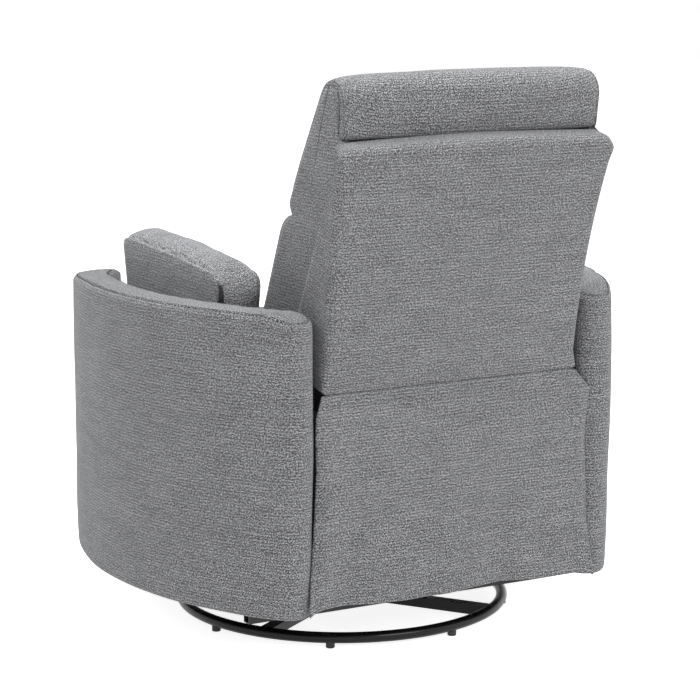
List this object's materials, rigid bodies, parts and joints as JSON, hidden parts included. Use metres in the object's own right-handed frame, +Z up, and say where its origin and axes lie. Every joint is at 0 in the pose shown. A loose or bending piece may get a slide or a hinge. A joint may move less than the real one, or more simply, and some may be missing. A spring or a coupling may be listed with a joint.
{
  "type": "swivel glider recliner",
  "caption": "Upholstered armchair with curved padded arms on a round swivel base; it turns, glides, reclines, and raises a footrest on a folding linkage.",
  "frame": {"origin": "on the floor on the swivel axis, below the middle of the ring base", "axes": "+Z up, -Y to the front of the chair, +X to the sitter's left"},
  "size_m": [0.932, 0.9512, 1.0256],
  "materials": {
    "upholstery": "heather grey woven upholstery fabric",
    "webbing": "black elastic webbing",
    "black_steel": "semi-gloss black enamel",
    "mechanism_steel": "satin black enamel on pressed steel",
    "bright_steel": "zinc-plated",
    "frame_wood": "raw plywood",
    "black_plastic": "moulded, matt"
  },
  "bodies": {
    "base": {"base_ring": "black_steel", "base_feet": "black_plastic", "base_spokes": "black_steel", "hub_plate": "black_steel", "lower_race": "black_steel", "race_bolts": "bright_steel"},
    "turntable": {"upper_race": "mechanism_steel", "turntable_plate": "mechanism_steel", "left_glide_bracket": "mechanism_steel", "right_glide_bracket": "mechanism_steel", "glide_top_pins": "bright_steel"},
    "glide_link_front_left": {"glide_link_front_left": "mechanism_steel"},
    "glide_link_front_right": {"glide_link_front_right": "mechanism_steel"},
    "glide_link_rear_left": {"glide_link_rear_left": "mechanism_steel"},
    "glide_link_rear_right": {"glide_link_rear_right": "mechanism_steel"},
    "frame": {"glide_rails": "mechanism_steel", "glide_bottom_pins": "bright_steel", "front_cross_rail": "mechanism_steel", "rear_cross_rail": "mechanism_steel", "left_side_plate": "mechanism_steel", "right_side_plate": "mechanism_steel", "seat_slide_channels": "mechanism_steel", "back_hinge_pins": "bright_steel", "left_arm_frame": "frame_wood", "left_arm": "upholstery", "left_side_deck": "upholstery", "left_arm_pillow": "upholstery", "right_arm_frame": "frame_wood", "right_arm": "upholstery", "right_side_deck": "upholstery", "right_arm_pillow": "upholstery", "back_flap": "upholstery"},
    "seat": {"seat_side_rails": "mechanism_steel", "seat_cross_tubes": "mechanism_steel", "seat_webbing": "webbing", "seat_cushion": "upholstery", "seat_slide_runners": "black_plastic", "seat_pivot_pins": "bright_steel", "seat_recline_pins": "bright_steel"},
    "link_a": {"footrest_link_a": "mechanism_steel", "drive_tube": "mechanism_steel", "link_a_rivets": "bright_steel"},
    "link_b": {"footrest_link_b": "mechanism_steel", "link_b_rivets": "bright_steel"},
    "link_c": {"footrest_link_c": "mechanism_steel"},
    "link_d": {"footrest_link_d": "mechanism_steel"},
    "footrest": {"footrest_board": "frame_wood", "footrest_brackets": "mechanism_steel", "footrest_pins": "bright_steel", "footrest_pad": "upholstery"},
    "back": {"back_stiles": "frame_wood", "back_rails": "frame_wood", "back_outer_panel": "upholstery", "back_hinge_brackets": "mechanism_steel", "back_cushion_lower": "upholstery", "back_cushion_upper": "upholstery"},
    "release": {"release_lever": "black_plastic", "release_shaft": "mechanism_steel", "latch_pawl": "mechanism_steel"}
  },
  "joints": [
    {"name": "swivel", "type": "hinge", "parent": "base", "child": "turntable", "pos_m": [0, 0, 0.04], "axis": [0, 0, 1], "continuous": true},
    {"name": "glide", "type": "hinge", "parent": "turntable", "child": "glide_link_front_left", "pos_m": [0.164, -0.11, 0.215], "axis": [1, 0, 0], "range_deg": [-22, 22]},
    {"name": "glide_front_right", "type": "hinge", "parent": "turntable", "child": "glide_link_front_right", "pos_m": [-0.164, -0.11, 0.215], "axis": [1, 0, 0], "range_deg": [-22.5, 22.5]},
    {"name": "glide_rear_left", "type": "hinge", "parent": "turntable", "child": "glide_link_rear_left", "pos_m": [0.164, 0.11, 0.215], "axis": [1, 0, 0], "range_deg": [-22.5, 22.5]},
    {"name": "glide_rear_right", "type": "hinge", "parent": "turntable", "child": "glide_link_rear_right", "pos_m": [-0.164, 0.11, 0.215], "axis": [1, 0, 0], "range_deg": [-22.5, 22.5]},
    {"name": "glide_level", "type": "hinge", "parent": "glide_link_front_left", "child": "frame", "pos_m": [0.17, -0.11, 0.105], "axis": [1, 0, 0], "range_deg": [-22.5, 22.5]},
    {"name": "back_recline", "type": "hinge", "parent": "frame", "child": "back", "pos_m": [0, 0.285, 0.425], "axis": [-1, 0, 0], "range_deg": [0, 30], "deforming": ["back_flap"]},
    {"name": "seat_slide", "type": "slide", "parent": "frame", "child": "seat", "axis": [0, -1, 0], "range_m": [0, 0.0617]},
    {"name": "footrest_extend", "type": "hinge", "parent": "seat", "child": "link_a", "pos_m": [0, -0.335, 0.318], "axis": [-1, 0, 0], "range_deg": [0, 152.7]},
    {"name": "footrest_elbow", "type": "hinge", "parent": "link_a", "child": "link_b", "pos_m": [0, -0.14248, 0.26382], "axis": [-1, 0, 0], "range_deg": [-114, 0.2]},
    {"name": "footrest_carrier", "type": "hinge", "parent": "seat", "child": "link_c", "pos_m": [0, -0.3148, 0.3166], "axis": [-1, 0, 0], "range_deg": [-0.2, 153]},
    {"name": "footrest_stay", "type": "hinge", "parent": "link_a", "child": "link_d", "pos_m": [0, -0.15499, 0.26734], "axis": [-1, 0, 0], "range_deg": [-114, 0.2]},
    {"name": "footrest_turn", "type": "hinge", "parent": "link_b", "child": "footrest", "pos_m": [0, -0.37, 0.205], "axis": [-1, 0, 0], "range_deg": [-0.2, 51.3]},
    {"name": "release_pull", "type": "hinge", "parent": "seat", "child": "release", "pos_m": [-0.2335, -0.3, 0.337], "axis": [-1, 0, 0], "range_deg": [0, 12], "stiffness_Nm_per_rad": 3}
  ],
  "couplings": [
    {"joint": "glide_front_right", "follows": "glide", "ratio": 1},
    {"joint": "glide_rear_left", "follows": "glide", "ratio": 1},
    {"joint": "glide_rear_right", "follows": "glide", "ratio": 1},
    {"joint": "glide_level", "follows": "glide", "ratio": -1},
    {"joint": "seat_slide", "follows": "back_recline", "m_per_rad": 0.1175},
    {"joint": "footrest_elbow", "follows": "footrest_extend", "ratio": -0.74548},
    {"joint": "footrest_carrier", "follows": "footrest_extend", "ratio": 1},
    {"joint": "footrest_stay", "follows": "footrest_extend", "ratio": -0.74548},
    {"joint": "footrest_turn", "follows": "footrest_extend", "ratio": 0.33471}
  ]
}
